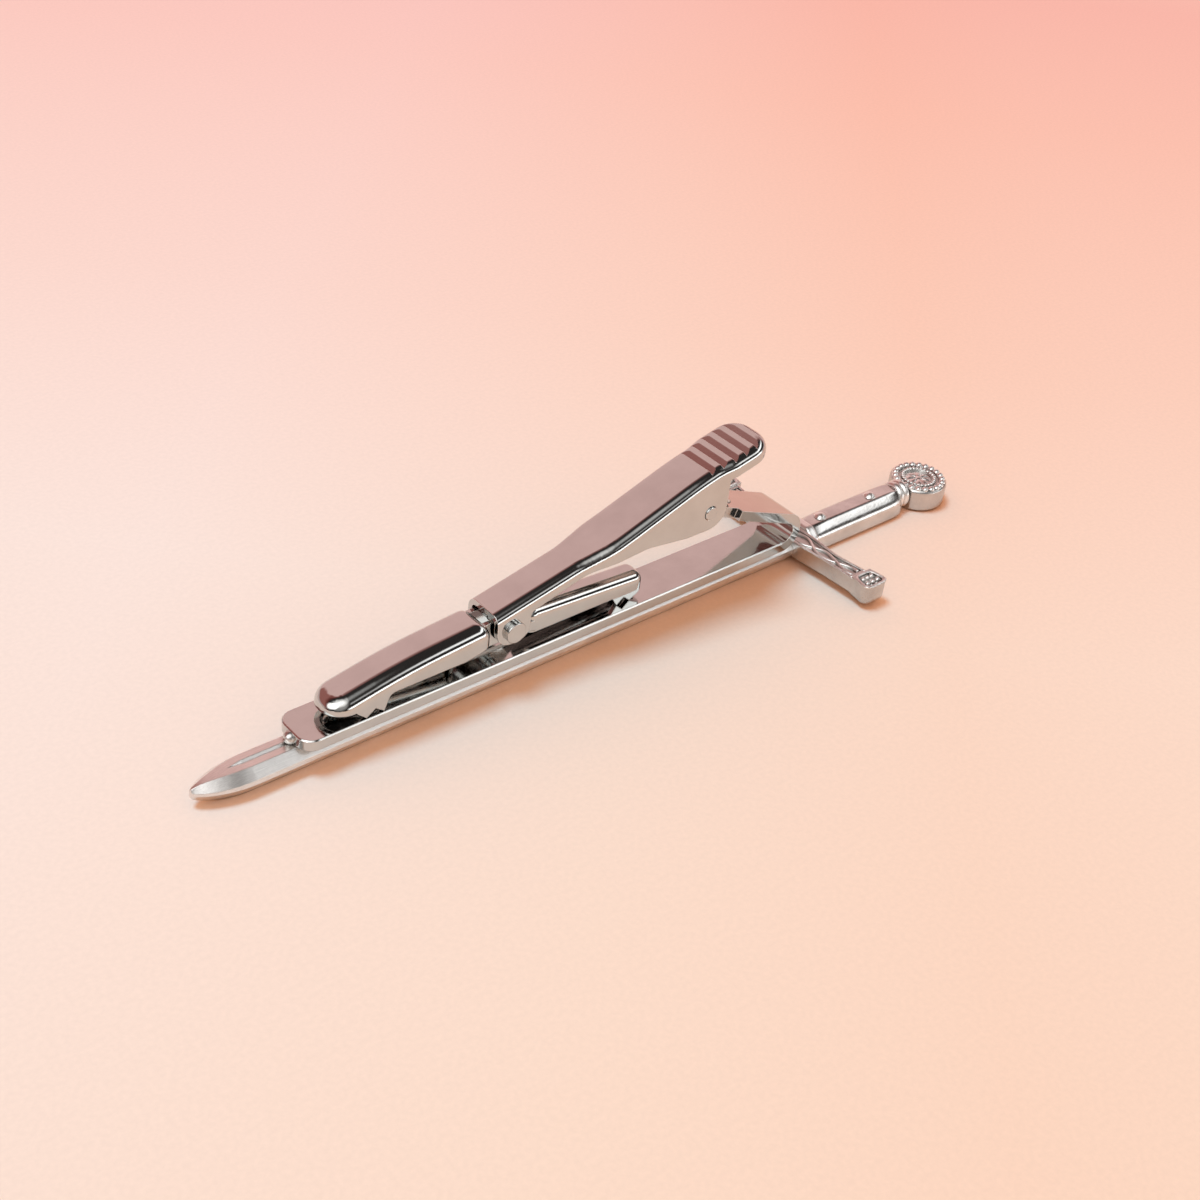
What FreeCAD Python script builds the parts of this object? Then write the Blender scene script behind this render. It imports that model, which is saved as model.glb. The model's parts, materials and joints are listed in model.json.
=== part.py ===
import FreeCAD, Part
import math
import os

Vector = FreeCAD.Vector

# A tie clip in the form of a sword, lying on the sword's face with the clip on its back.
# X runs along the sword from tip to pommel, Y across it along the crossguard, Z up from the
# surface that it lies on. The origin is below the middle of the sword. Sizes are in millimetres.

# Blade and tang
blade_length = 57.5
blade_width = 3.06
blade_thickness = 2.2
blade_flat_width = 1.6
blade_edge_low = 1.06
blade_edge_height = 0.42
tip_length = 4.4
tip_sharpness = 1.5
tip_end_width = 0.25
tip_end_thickness = 0.55
tip_steps = 8
groove_width = 0.4
groove_depth = 0.2
groove_set_back = 2.5
groove_run_in = 1.6
tang_width = 1.5
tang_thickness = 0.8
tang_bite = 0.8

# Crossguard with tapered arms and flared end blocks that lean towards the grip
guard_length = 20.0
guard_thickness = 1.95
guard_root_width = 2.1
guard_root_length = 4.6
guard_waist_width = 1.62
guard_waist_length = 9.8
guard_neck_width = 1.85
guard_neck_lean = 0.3
guard_bend_radius = 6.0
guard_low_bevel = 0.6
guard_border = 0.28
guard_panel_depth = 0.22
block_length = 2.1
block_inner_width = 2.2
block_outer_width = 2.8
block_lean = 0.5
block_rise = 0.1
block_low_radius = 0.7
block_corner_radius = 0.75
block_border = 0.3
block_recess_depth = 0.25

# Grip, its collars and its rivets
collar_length = 1.0
collar_width = 3.6
collar_height = 2.5
collar_corner_radius = 0.3
grip_length = 11.14
grip_width = 3.3
grip_height = 2.4
grip_flat_width = 1.4
grip_shoulder_height = 0.8
grip_low_bevel = 0.25
grip_corner_radius = 0.8
rivet_head_diameter = 1.15
rivet_head_height = 0.36
rivet_shank_diameter = 0.6
rivet_set_back = 1.6
rivet_spacing = 6.4
rivet_count = 2
ring_diameter = 2.6
ring_core_diameter = 2.1
ring_count = 2
ring_pitch = 0.68

# Pommel, a thick disc with a rim, a ring and a dished middle on both faces
pommel_diameter = 5.24
pommel_thickness = 2.25
pommel_edge_radius = 0.6
pommel_rim_width = 0.75
pommel_groove_width = 0.25
pommel_groove_depth = 0.2
pommel_ring_width = 0.3
pommel_ridge_radius = 0.1
pommel_dish_depth = 0.22
pommel_seat_width = 2.6

# Clip strip: base, U-bend and arm in one piece, held to the blade by solder
solder_thickness = 0.1
solder_width = 1.5
solder_set_back = 1.0
solder_bead_radius = 0.55
solder_bead_rise = 0.4
strip_thickness = 0.9
strip_width = 4.0
strip_length = 47.4
strip_corner_radius = 1.2
strip_edge_bevel = 0.1
arm_run = 9.9
bend_inside_radius = 0.95
shoulder_reach = 4.3
tongue_width = 2.9
lug_thickness = 0.4
lug_radius = 1.25
lug_drop = 0.23
fork_reach = 1.7

# Lever pin and jaw rivet
pin_diameter = 1.2
pin_height = 6.6
pin_proud = 0.15
pin_chamfer = 0.08
jaw_rivet_reach = 19.15
jaw_rivet_height = 2.45
jaw_rivet_shank_diameter = 1.1
jaw_rivet_head_diameter = 1.78
jaw_rivet_head_length = 0.4
jaw_rivet_edge_radius = 0.1

# Lever, a channel pressed from sheet, with ears for the rivet and for the pin
lever_sheet = 0.45
lever_edge_radius = 0.85
lever_front_width = 3.7
lever_middle_width = 4.54
lever_thumb_width = 5.0
lever_front_cover = 2.05
lever_front_slope = 13.1
lever_pin_cover = 3.3
lever_thumb_slope = 14.0
lever_front_bend_reach = 10.5
lever_thumb_bend_reach = 1.05
lever_front_bend_radius = 50.0
lever_thumb_bend_radius = 30.0
lever_flare_start = 12.7
lever_flare_end = 9.7
lever_flare_radius = 8.0
thumb_reach = 6.3
thumb_flare_start = 0.9
thumb_flare_end = 2.2
thumb_flare_radius = 3.0
thumb_flank_depth = 1.3
thumb_corner_radius = 0.4
pin_ear_radius = 1.6
pin_ear_run = 2.3
belly_reach = 6.5
belly_depth = 2.38
belly_radius = 4.0
waist_reach = 12.0
waist_depth = 1.05
waist_radius = 5.0
front_ear_radius = 1.56
front_ear_lift = 0.4
front_ear_rise = 1.1
front_ear_corner_radius = 0.5
thumb_groove_count = 6
thumb_groove_pitch = 1.12
thumb_groove_end_gap = 0.8
thumb_groove_run = 0.62
thumb_groove_depth = 0.16

# Jaw, two pressed cups with toothed flanges, joined by a pair of neck plates at the rivet
jaw_sheet = 0.4
jaw_front_width = 3.7
jaw_front_reach = 16.05
jaw_front_tail = 1.85
jaw_front_low_height = 1.75
jaw_front_crown_reach = 9.35
jaw_front_crown_height = 3.1
jaw_front_crown_radius = 50.0
jaw_front_high_height = 3.75
jaw_front_edge_radius = 1.15
jaw_front_corner_radius = 0.85
jaw_back_width = 2.3
jaw_back_reach = 13.9
jaw_back_tail = 2.0
jaw_back_high_height = 2.9
jaw_back_low_height = 2.2
jaw_back_edge_radius = 0.85
jaw_back_corner_radius = 0.8
jaw_rim_height = 0.85
jaw_front_arch_height = 1.38
jaw_front_tail_height = 1.9
jaw_front_arch_reach = 4.4
jaw_front_arch_radius = 0.7
jaw_back_arch_height = 0.8
neck_low_height = 1.25
neck_height = 3.4
neck_front_overlap = 1.7
neck_back_overlap = 1.3
neck_corner_radius = 0.5
tooth_count = 2
tooth_front_pitch = 1.53
tooth_back_pitch = 1.33
tooth_notch_height = 0.6
tooth_front_set_back = 2.9
tooth_back_set_back = 1.5
tooth_lead = 0.9
tooth_heel = 0.5

# Torsion spring round the lever pin, one leg on the arm and one under the thumb pad
spring_wire = 0.35
spring_coil_radius = 0.9
spring_coil_length = 1.56
spring_whole_turns = 1
spring_arm_leg = 3.7
spring_thumb_leg = 3.3
spring_foot_length = 1.3
spring_foot_radius = 0.8
spring_steps_per_turn = 4
spring_gap_points = 500

# Clearances
guard_clearance = 0.25
tang_clearance = 0.03
rivet_clearance = 0.02
pin_clearance = 0.03
tooth_clearance = 0.02
spring_seat_clearance = 0.05
spring_thumb_clearance = 0.12
overcut = 1.0

# Stations along X and heights along Z that several pieces share
pommel_radius = pommel_diameter / 2
pommel_seat_depth = math.sqrt(pommel_radius ** 2 - (pommel_seat_width / 2) ** 2)
hilt_length = guard_root_width + collar_length + grip_length + ring_count * ring_pitch
sword_length = blade_length + hilt_length + pommel_seat_depth + pommel_radius
tip_x = -sword_length / 2
guard_x = tip_x + blade_length
guard_middle_x = guard_x + guard_root_width / 2
collar_x = guard_x + guard_root_width
grip_x = collar_x + collar_length
rings_x = grip_x + grip_length
pommel_seat_x = rings_x + ring_count * ring_pitch
pommel_x = pommel_seat_x + pommel_seat_depth
blade_middle_z = blade_thickness / 2
guard_low_z = blade_thickness - guard_thickness

strip_low_z = blade_thickness + solder_thickness
strip_top_z = strip_low_z + strip_thickness
bend_outside_radius = bend_inside_radius + strip_thickness
bend_x = guard_x - guard_clearance - bend_outside_radius
bend_z = strip_low_z + bend_outside_radius
strip_x = bend_x - strip_length
pin_x = bend_x - arm_run
pin_z = strip_top_z + pin_height
jaw_rivet_x = pin_x - jaw_rivet_reach
jaw_rivet_z = strip_top_z + jaw_rivet_height


# Drawing helpers
def side(a, b, y=0.0):
    return Vector(a, y, b)


def plan(a, b, z=0.0):
    return Vector(a, b, z)


def across(a, b, x=0.0):
    return Vector(x, a, b)


def rounded_wire(corners, place):
    """A closed wire through (a, b, radius) corners. An arc is limited by the runs beside it."""
    turns = []
    for index, (a, b, radius) in enumerate(corners):
        here = Vector(a, b, 0)
        back = Vector(*corners[index - 1][:2], 0) - here
        ahead = Vector(*corners[(index + 1) % len(corners)][:2], 0) - here
        half_turn = (math.pi - back.getAngle(ahead)) / 2
        reach = min(radius * math.tan(half_turn), back.Length / 2, ahead.Length / 2)
        back.normalize()
        ahead.normalize()
        if reach < 1e-6:
            turns.append((here, None, here))
            continue
        arc_radius = reach / math.tan(half_turn)
        inward = (back + ahead).normalize()
        crown = here + inward * (arc_radius / math.cos(half_turn) - arc_radius)
        turns.append((here + back * reach, crown, here + ahead * reach))
    edges = []
    for index, (start, crown, end) in enumerate(turns):
        following = turns[(index + 1) % len(turns)][0]
        if crown is not None:
            edges.append(Part.Arc(*(place(p.x, p.y) for p in (start, crown, end))).toShape())
        if end.distanceToPoint(following) > 1e-6:
            edges.append(Part.LineSegment(place(end.x, end.y), place(following.x, following.y)).toShape())
    return Part.Wire(Part.__sortEdges__(edges))


def side_prism(corners, width):
    face = Part.Face(rounded_wire(corners, lambda a, b: side(a, b, -width / 2)))
    return face.extrude(Vector(0, width, 0))


def plan_prism(corners, low, high):
    face = Part.Face(rounded_wire(corners, lambda a, b: plan(a, b, low)))
    return face.extrude(Vector(0, 0, high - low))


def across_prism(corners, start, end):
    face = Part.Face(rounded_wire(corners, lambda a, b: across(a, b, start)))
    return face.extrude(Vector(end - start, 0, 0))


def box(low, high):
    size = Vector(*high) - Vector(*low)
    return Part.makeBox(size.x, size.y, size.z, Vector(*low))


def cross_pin(x, z, radius, half_length):
    """A cylinder along Y, centred on the middle plane."""
    return Part.makeCylinder(radius, 2 * half_length, Vector(x, -half_length, z), Vector(0, 1, 0))


def top_edges(solid):
    """The edges between a face that looks up and an upright face, apart from those facing the tip."""
    found = []
    for edge in solid.Edges:
        middle = edge.valueAt((edge.FirstParameter + edge.LastParameter) / 2)
        normals = []
        for face in solid.ancestorsOfType(edge, Part.Face):
            normals.append(face.normalAt(*face.Surface.parameter(middle)))
        normals.sort(key=lambda normal: normal.z)
        if len(normals) == 2 and normals[1].z > 0.5 and abs(normals[0].z) < 0.1:
            if normals[0].x > -0.999 or edge.Curve.TypeId != "Part::GeomLine":
                found.append(edge)
    return found


def line_crossing(first, first_slope, second, second_slope):
    """Where two lines meet, each a point and a slope angle in radians."""
    rise = math.tan(first_slope)
    other_rise = math.tan(second_slope)
    a = (second[1] - first[1] + rise * first[0] - other_rise * second[0]) / (rise - other_rise)
    return a, first[1] + rise * (a - first[0])


# Sword
def blade_section(x, width, flat_width, fullness, edge_height):
    """Eight corners. Fullness is the section's share of the blade's thickness, kept about its edge."""
    edge_z = blade_edge_low + blade_edge_height / 2
    high = edge_z + fullness * (blade_thickness - edge_z)
    low = edge_z - fullness * edge_z
    points = [(width / 2, edge_z + edge_height / 2), (flat_width / 2, high), (-flat_width / 2, high),
              (-width / 2, edge_z + edge_height / 2), (-width / 2, edge_z - edge_height / 2),
              (-flat_width / 2, low), (flat_width / 2, low), (width / 2, edge_z - edge_height / 2)]
    corners = [across(a, b, x) for a, b in points]
    return Part.makePolygon(corners + corners[:1])


def make_blade():
    shoulder_x = tip_x + tip_length
    root = blade_section(shoulder_x, blade_width, blade_flat_width, 1.0, blade_edge_height)
    body = Part.Face(root).extrude(Vector(guard_x - shoulder_x, 0, 0))
    end_fullness = tip_end_thickness / blade_thickness
    tip_sections = []
    for step in range(tip_steps + 1):
        # The tip thins along a quarter of an ellipse, narrows to a point and loses its flats first.
        turn = math.pi / 2 * step / tip_steps
        share = math.sin(turn)
        swell = math.cos(turn)
        spread = swell ** tip_sharpness
        width = tip_end_width + (blade_width - tip_end_width) * spread
        flat = tip_end_width / 2 + (blade_flat_width - tip_end_width / 2) * spread ** 2
        fullness = end_fullness + (1 - end_fullness) * swell
        edge = blade_edge_height * (1 - share / 2)
        tip_sections.append(blade_section(shoulder_x - share * tip_length, width, flat, fullness, edge))
    blade = body.fuse(Part.makeLoft(tip_sections, True, False))
    for face_z, way in ((0.0, -1), (blade_thickness, 1)):
        blade = blade.cut(blade_groove(face_z, way))
    blade = blade.fuse(tang_bar(guard_x, pommel_seat_x + tang_bite, 0.0))
    return blade.cut(grip_rivet_holes()).removeSplitter()


def blade_groove(face_z, way):
    """A cutter for the V-groove of one face, which runs in from a point near the tip."""
    start_x = tip_x + groove_set_back
    full_x = start_x + groove_run_in
    high_half = groove_width / 2 * (1 + overcut / groove_depth)
    high_z = face_z + way * overcut
    corners = [across(0, face_z - way * groove_depth, full_x), across(high_half, high_z, full_x),
               across(-high_half, high_z, full_x)]
    section = Part.makePolygon(corners + corners[:1])
    run_in = Part.makeLoft([Part.Vertex(across(0, face_z, start_x)), section], True, True)
    return run_in.fuse(Part.Face(section).extrude(Vector(guard_x + overcut - full_x, 0, 0)))


def tang_bar(start, end, clearance):
    half_width = tang_width / 2 + clearance
    half_height = tang_thickness / 2 + clearance
    return box((start, -half_width, blade_middle_z - half_height),
               (end, half_width, blade_middle_z + half_height))


def tang_slot(start, end):
    return tang_bar(start, end, tang_clearance)


def guard_outline(inset, reach):
    """The plan of both arms, whose ends lean towards the grip as the blocks do."""
    stations = [(0.0, guard_root_width / 2 - inset, guard_root_length / 2, guard_bend_radius),
                (0.0, guard_waist_width / 2 - inset, guard_waist_length / 2, guard_bend_radius),
                (guard_neck_lean, guard_neck_width / 2 - inset, reach, 0)]
    right_up = [(guard_middle_x + lean + a, b, r) for lean, a, b, r in stations]
    left_down = [(guard_middle_x + lean - a, b, r) for lean, a, b, r in reversed(stations)]
    up = right_up + left_down
    return up + [(a, -b, r) for a, b, r in reversed(up)]


def block_outline(inset, end):
    inner = end * (guard_length / 2 - block_length + inset)
    outer = end * (guard_length / 2 - inset)
    near = block_inner_width / 2 - inset
    far = block_outer_width / 2 - inset
    middle_x = guard_middle_x + block_lean
    radius = max(block_corner_radius - inset, 0)
    return [(middle_x - near, inner, 0), (middle_x - far, outer, radius),
            (middle_x + far, outer, radius), (middle_x + near, inner, 0)]


def low_edges(solid, low):
    return [edge for edge in solid.Edges if edge.BoundBox.ZMax < low + 1e-6]


def make_crossguard():
    guard_top = blade_thickness
    neck_reach = guard_length / 2 - block_length
    guard = plan_prism(guard_outline(0.0, neck_reach + block_length / 2), guard_low_z, guard_top)
    guard = guard.makeChamfer(guard_low_bevel, low_edges(guard, guard_low_z))
    panel = guard_outline(guard_border, neck_reach - guard_border)
    guard = guard.cut(plan_prism(panel, guard_top - guard_panel_depth, guard_top + overcut))
    block_top = guard_top + block_rise
    for end in (-1, 1):
        block = plan_prism(block_outline(0.0, end), guard_low_z, block_top)
        block = block.makeFillet(block_low_radius, low_edges(block, guard_low_z))
        recess_low = block_top - block_recess_depth
        recess = plan_prism(block_outline(block_border, end), recess_low, block_top + overcut)
        guard = guard.fuse(block).cut(recess)
    return guard.cut(tang_slot(guard_x - overcut, collar_x + overcut)).removeSplitter()


def grip_corners(width, height, flat_width):
    right = [(width / 2 - grip_low_bevel, 0.0, 0), (width / 2, grip_low_bevel, 0),
             (width / 2, height - grip_shoulder_height, grip_corner_radius),
             (flat_width / 2, height, grip_corner_radius)]
    return right + [(-a, b, r) for a, b, r in reversed(right)]


def make_guard_collar():
    flat_width = grip_flat_width + collar_width - grip_width
    collar = across_prism(grip_corners(collar_width, collar_height, flat_width), collar_x, grip_x)
    ends = [edge for edge in collar.Edges if edge.BoundBox.XLength < 1e-6]
    collar = collar.makeFillet(collar_corner_radius, ends)
    return collar.cut(tang_slot(collar_x - overcut, grip_x + overcut))


def grip_rivet_places():
    return [grip_x + rivet_set_back + index * rivet_spacing for index in range(rivet_count)]


def make_grip():
    grip = across_prism(grip_corners(grip_width, grip_height, grip_flat_width), grip_x, rings_x)
    grip = grip.cut(tang_slot(grip_x - overcut, rings_x + overcut))
    return grip.cut(grip_rivet_holes())


def grip_rivet_holes():
    radius = rivet_shank_diameter / 2 + rivet_clearance
    height = grip_height + 2 * overcut
    holes = [Part.makeCylinder(radius, height, Vector(x, 0, -overcut)) for x in grip_rivet_places()]
    return Part.makeCompound(holes)


def make_grip_rivets():
    rivets = []
    cap_radius = ((rivet_head_diameter / 2) ** 2 + rivet_head_height ** 2) / (2 * rivet_head_height)
    for x in grip_rivet_places():
        shank = Part.makeCylinder(rivet_shank_diameter / 2, grip_height, Vector(x, 0, 0))
        ball = Part.makeSphere(cap_radius, Vector(x, 0, grip_height + rivet_head_height - cap_radius))
        above = Part.makeCylinder(2 * cap_radius, 2 * cap_radius, Vector(x, 0, grip_height))
        rivets.append(shank.fuse(ball.common(above)).removeSplitter())
    return Part.makeCompound(rivets)


def make_pommel_collar():
    middle_z = ring_diameter / 2
    bead_radius = ring_pitch / 2
    length = ring_count * ring_pitch
    start = Vector(rings_x, 0, middle_z)
    collar = Part.makeCylinder(ring_core_diameter / 2, length, start, Vector(1, 0, 0))
    for index in range(ring_count):
        middle = Vector(rings_x + (index + 0.5) * ring_pitch, 0, middle_z)
        ring = Part.makeTorus(ring_diameter / 2 - bead_radius, bead_radius, middle, Vector(1, 0, 0))
        collar = collar.fuse(ring)
    return collar.cut(tang_slot(rings_x - overcut, pommel_seat_x + overcut)).removeSplitter()


def make_pommel():
    groove = pommel_radius - pommel_rim_width
    ring = groove - pommel_groove_width
    dish = ring - pommel_ring_width
    top = pommel_thickness
    upper = [(pommel_radius, top, pommel_edge_radius), (groove, top, pommel_ridge_radius),
             (groove, top - pommel_groove_depth, 0), (ring, top - pommel_groove_depth, 0),
             (ring, top, pommel_ridge_radius), (dish, top, pommel_ridge_radius),
             (dish, top - pommel_dish_depth, 0), (0.0, top - pommel_dish_depth, 0)]
    lower = [(a, top - b, r) for a, b, r in reversed(upper)]
    face = Part.Face(rounded_wire(upper + lower, lambda a, b: side(pommel_x + a, b)))
    pommel = face.revolve(Vector(pommel_x, 0, 0), Vector(0, 0, 1), 360)
    seat = box((pommel_x - pommel_diameter, -pommel_diameter, -overcut),
               (pommel_seat_x, pommel_diameter, pommel_thickness + overcut))
    slot = tang_slot(pommel_seat_x - overcut, pommel_seat_x + tang_bite + tang_clearance)
    return pommel.cut(seat).cut(slot)


# Clip strip
def arm_slope():
    """The arm leaves the bend so that its middle plane passes lug_drop below the pin."""
    run = bend_x - pin_x
    rise = pin_z - bend_z
    middle_radius = bend_inside_radius + strip_thickness / 2
    return math.atan2(rise, run) - math.asin((middle_radius + lug_drop) / math.hypot(run, rise))


def arm_point(along, above):
    """A point given by its distance from the pin down the arm and its height over the pin's level."""
    slope = arm_slope()
    return (pin_x + along * math.cos(slope) + above * math.sin(slope),
            pin_z - along * math.sin(slope) + above * math.cos(slope))


def arm_top():
    return strip_thickness / 2 - lug_drop


def arm_plate(start, end, width):
    low = arm_top() - strip_thickness
    high = arm_top()
    corners = [arm_point(start, low), arm_point(end, low), arm_point(end, high), arm_point(start, high)]
    return side_prism([(a, b, 0) for a, b in corners], width)


def make_base_plate():
    slope = arm_slope()
    arm_start = math.hypot(bend_x - pin_x, pin_z - bend_z)
    middle_radius = bend_inside_radius + strip_thickness / 2
    arm_start = math.sqrt(arm_start ** 2 - (middle_radius + lug_drop) ** 2)
    base = box((strip_x, -strip_width / 2, strip_low_z), (bend_x, strip_width / 2, strip_top_z))
    corners = [edge for edge in base.Edges
               if edge.BoundBox.ZLength > strip_thickness / 2 and edge.BoundBox.XMax < strip_x + 1e-6]
    base = base.makeFillet(strip_corner_radius, corners)
    rim = [edge for edge in base.Edges
           if edge.BoundBox.ZMin > strip_top_z - 1e-6 and edge.BoundBox.XMin < bend_x - 1e-6]
    base = base.makeChamfer(strip_edge_bevel, rim)
    sector = 180 - math.degrees(slope)
    bend = Part.makeCylinder(bend_outside_radius, strip_width, Vector(bend_x, -strip_width / 2, bend_z),
                             Vector(0, 1, 0))
    bend = bend.cut(cross_pin(bend_x, bend_z, bend_inside_radius, strip_width))
    reach = 3 * bend_outside_radius
    side_corners = [(bend_x, bend_z), (bend_x, bend_z - reach), (bend_x + reach, bend_z - reach),
                    (bend_x + reach, bend_z + reach),
                    (bend_x + reach * math.cos(math.radians(sector - 90)),
                     bend_z + reach * math.sin(math.radians(sector - 90)))]
    bend = bend.common(side_prism([(a, b, 0) for a, b in side_corners], strip_width + overcut))
    arm = arm_plate(shoulder_reach, arm_start, strip_width)
    tongue = arm_plate(fork_reach, shoulder_reach + strip_thickness, tongue_width)
    strip = base.fuse([bend, arm, tongue]).removeSplitter()
    for turn in (-1, 1):
        strip = strip.fuse(make_lug(turn))
    hole = cross_pin(pin_x, pin_z, pin_diameter / 2 + pin_clearance, tongue_width)
    return strip.cut(hole).removeSplitter()


def make_lug(turn):
    """An upright ear at one side of the tongue, round at its end, that holds the pin."""
    outer = turn * tongue_width / 2
    inner = outer - turn * lug_thickness
    low = -lug_radius
    corners = [arm_point(-lug_radius, low), arm_point(fork_reach + lug_radius, arm_top() - strip_thickness),
               arm_point(fork_reach + lug_radius, arm_top()), arm_point(-lug_radius, lug_radius)]
    radii = [lug_radius, 0, 0, lug_radius]
    wire = rounded_wire([(a, b, r) for (a, b), r in zip(corners, radii)],
                        lambda a, b: side(a, b, min(inner, outer)))
    return Part.Face(wire).extrude(Vector(0, lug_thickness, 0))


def make_solder_bond():
    """The layer under the strip, with a bead left standing against the strip's front end."""
    layer = box((strip_x, -solder_width / 2, blade_thickness),
                (min(bend_x, guard_x) - solder_set_back, solder_width / 2, strip_low_z))
    bead = Part.makeSphere(solder_bead_radius, Vector(strip_x, 0, blade_thickness + solder_bead_rise))
    front = box((strip_x - 2 * solder_bead_radius, -solder_bead_radius, blade_thickness),
                (strip_x, solder_bead_radius, blade_thickness + 2 * solder_bead_radius))
    return layer.fuse(bead.common(front)).removeSplitter()


# Lever
def lever_top(depth):
    """Four points along the channel's top, as seen from the side, at a depth below its outer face."""
    slopes = [math.radians(lever_front_slope), None, math.radians(lever_thumb_slope)]
    front = (jaw_rivet_x, jaw_rivet_z + lever_front_cover)
    first_x = pin_x - lever_front_bend_reach
    first = (first_x, front[1] + (first_x - front[0]) * math.tan(slopes[0]))
    second = (pin_x - lever_thumb_bend_reach, pin_z + lever_pin_cover)
    slopes[1] = math.atan2(second[1] - first[1], second[0] - first[0])
    lines = []
    for point, slope in zip((first, second, second), slopes):
        lines.append(((point[0] + depth * math.sin(slope), point[1] - depth * math.cos(slope)), slope))
    first = line_crossing(*lines[0], *lines[1])
    second = line_crossing(*lines[1], *lines[2])
    front_x = jaw_rivet_x - front_ear_radius
    end_x = pin_x + thumb_reach + overcut
    return [(front_x, first[1] + (front_x - first[0]) * math.tan(slopes[0])), first, second,
            (end_x, second[1] + (end_x - second[0]) * math.tan(slopes[2]))]


def top_height(x, depth=0.0):
    points = lever_top(depth)
    for start, end in zip(points, points[1:]):
        if x <= end[0] or end == points[-1]:
            return start[1] + (x - start[0]) * (end[1] - start[1]) / (end[0] - start[0])


def lever_outline(inset):
    front_x = jaw_rivet_x - front_ear_radius
    if inset > 0:
        front_x -= overcut
    half = [(front_x, lever_front_width / 2 - inset, 0),
            (pin_x - lever_flare_start, lever_front_width / 2 - inset, lever_flare_radius),
            (pin_x - lever_flare_end, lever_middle_width / 2 - inset, lever_flare_radius),
            (pin_x + thumb_flare_start, lever_middle_width / 2 - inset, thumb_flare_radius),
            (pin_x + thumb_flare_end, lever_thumb_width / 2 - inset, thumb_flare_radius),
            (pin_x + thumb_reach - inset, lever_thumb_width / 2 - inset, lever_thumb_width / 2 - inset)]
    return half + [(a, -b, r) for a, b, r in reversed(half)]


def make_lever():
    front, first, second, end = lever_top(0.0)
    ear_x = pin_x + pin_ear_radius
    front_ear_x = jaw_rivet_x + front_ear_radius
    belly_x = pin_x - belly_reach
    waist_x = pin_x - waist_reach
    front_ear_low = jaw_rivet_z + front_ear_lift - front_ear_radius
    profile = [(*front, 0), (*first, lever_front_bend_radius),
               (*second, lever_thumb_bend_radius), (*end, 0), (end[0], end[1] - thumb_flank_depth, 0),
               (ear_x, top_height(ear_x) - thumb_flank_depth, thumb_corner_radius),
               (ear_x, pin_z - pin_ear_radius, pin_ear_radius),
               (pin_x - pin_ear_run, pin_z - pin_ear_radius, belly_radius),
               (belly_x, top_height(belly_x) - belly_depth, belly_radius),
               (waist_x, top_height(waist_x) - waist_depth, waist_radius),
               (front_ear_x, jaw_rivet_z + front_ear_rise, front_ear_corner_radius),
               (front_ear_x, front_ear_low, front_ear_radius), (front[0], front_ear_low, front_ear_radius)]
    lowest = front_ear_low - overcut
    highest = end[1] + overcut
    lever = side_prism(profile, 2 * lever_thumb_width)
    lever = lever.common(plan_prism(lever_outline(0.0), lowest, highest))
    lever = lever.makeFillet(lever_edge_radius, top_edges(lever))
    front, first, second, end = lever_top(lever_sheet)
    slope = math.tan(math.radians(lever_front_slope))
    hollow = [(front[0] - 2 * overcut, front[1] - 2 * overcut * slope, 0),
              (*first, lever_front_bend_radius), (*second, lever_thumb_bend_radius), (*end, 0),
              (end[0], lowest - overcut, 0),
              (front[0] - 2 * overcut, lowest - overcut, 0)]
    hollow = side_prism(hollow, 2 * lever_thumb_width)
    hollow = hollow.common(plan_prism(lever_outline(lever_sheet), lowest - 2 * overcut, highest))
    lever = lever.cut(hollow.makeFillet(lever_edge_radius - lever_sheet, top_edges(hollow)))
    last_groove_x = pin_x + thumb_reach - thumb_groove_end_gap
    for index in range(thumb_groove_count):
        lever = lever.cut(thumb_groove(last_groove_x - index * thumb_groove_pitch))
    lever = lever.cut(cross_pin(pin_x, pin_z, pin_diameter / 2 + pin_clearance, lever_thumb_width))
    rivet_hole = jaw_rivet_shank_diameter / 2 + pin_clearance
    return lever.cut(cross_pin(jaw_rivet_x, jaw_rivet_z, rivet_hole, lever_thumb_width))


def thumb_groove(x):
    """A step across the thumb pad that drops at x and rises again towards the pad's end."""
    end_x = x + thumb_groove_run
    rise = (top_height(end_x) - top_height(x) + thumb_groove_depth) / thumb_groove_run
    corners = [(x, top_height(x) - thumb_groove_depth, 0), (x, top_height(x) + overcut, 0),
               (end_x + overcut / rise, top_height(end_x) + overcut, 0)]
    return side_prism(corners, 2 * lever_thumb_width)


def make_lever_pin():
    pin = cross_pin(pin_x, pin_z, pin_diameter / 2, lever_middle_width / 2 + pin_proud)
    ends = [edge for edge in pin.Edges if edge.BoundBox.YLength < 1e-6]
    return pin.makeChamfer(pin_chamfer, ends)


def make_jaw_rivet():
    rivet = cross_pin(jaw_rivet_x, jaw_rivet_z, jaw_rivet_shank_diameter / 2, lever_front_width / 2)
    for turn in (-1, 1):
        seat = Vector(jaw_rivet_x, turn * lever_front_width / 2, jaw_rivet_z)
        way = Vector(0, turn, 0)
        head = Part.makeCylinder(jaw_rivet_head_diameter / 2, jaw_rivet_head_length, seat, way)
        rim = [edge for edge in head.Edges
               if edge.BoundBox.YLength < 1e-6 and abs(edge.BoundBox.YMin) > lever_front_width / 2 + 1e-6]
        rivet = rivet.fuse(head.makeFillet(jaw_rivet_edge_radius, rim))
    return rivet.removeSplitter()


# Jaw
def tooth_line(first_x, pitch):
    """The cut edge of a flange over its teeth, from the flange's end inwards."""
    tip_z = strip_top_z + tooth_clearance
    points = []
    for index in range(tooth_count):
        tip = first_x + index * pitch
        if index > 0:
            points.append((tip - pitch / 2, strip_top_z + tooth_notch_height, 0))
        points.append((tip, tip_z, 0))
    return points


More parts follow.
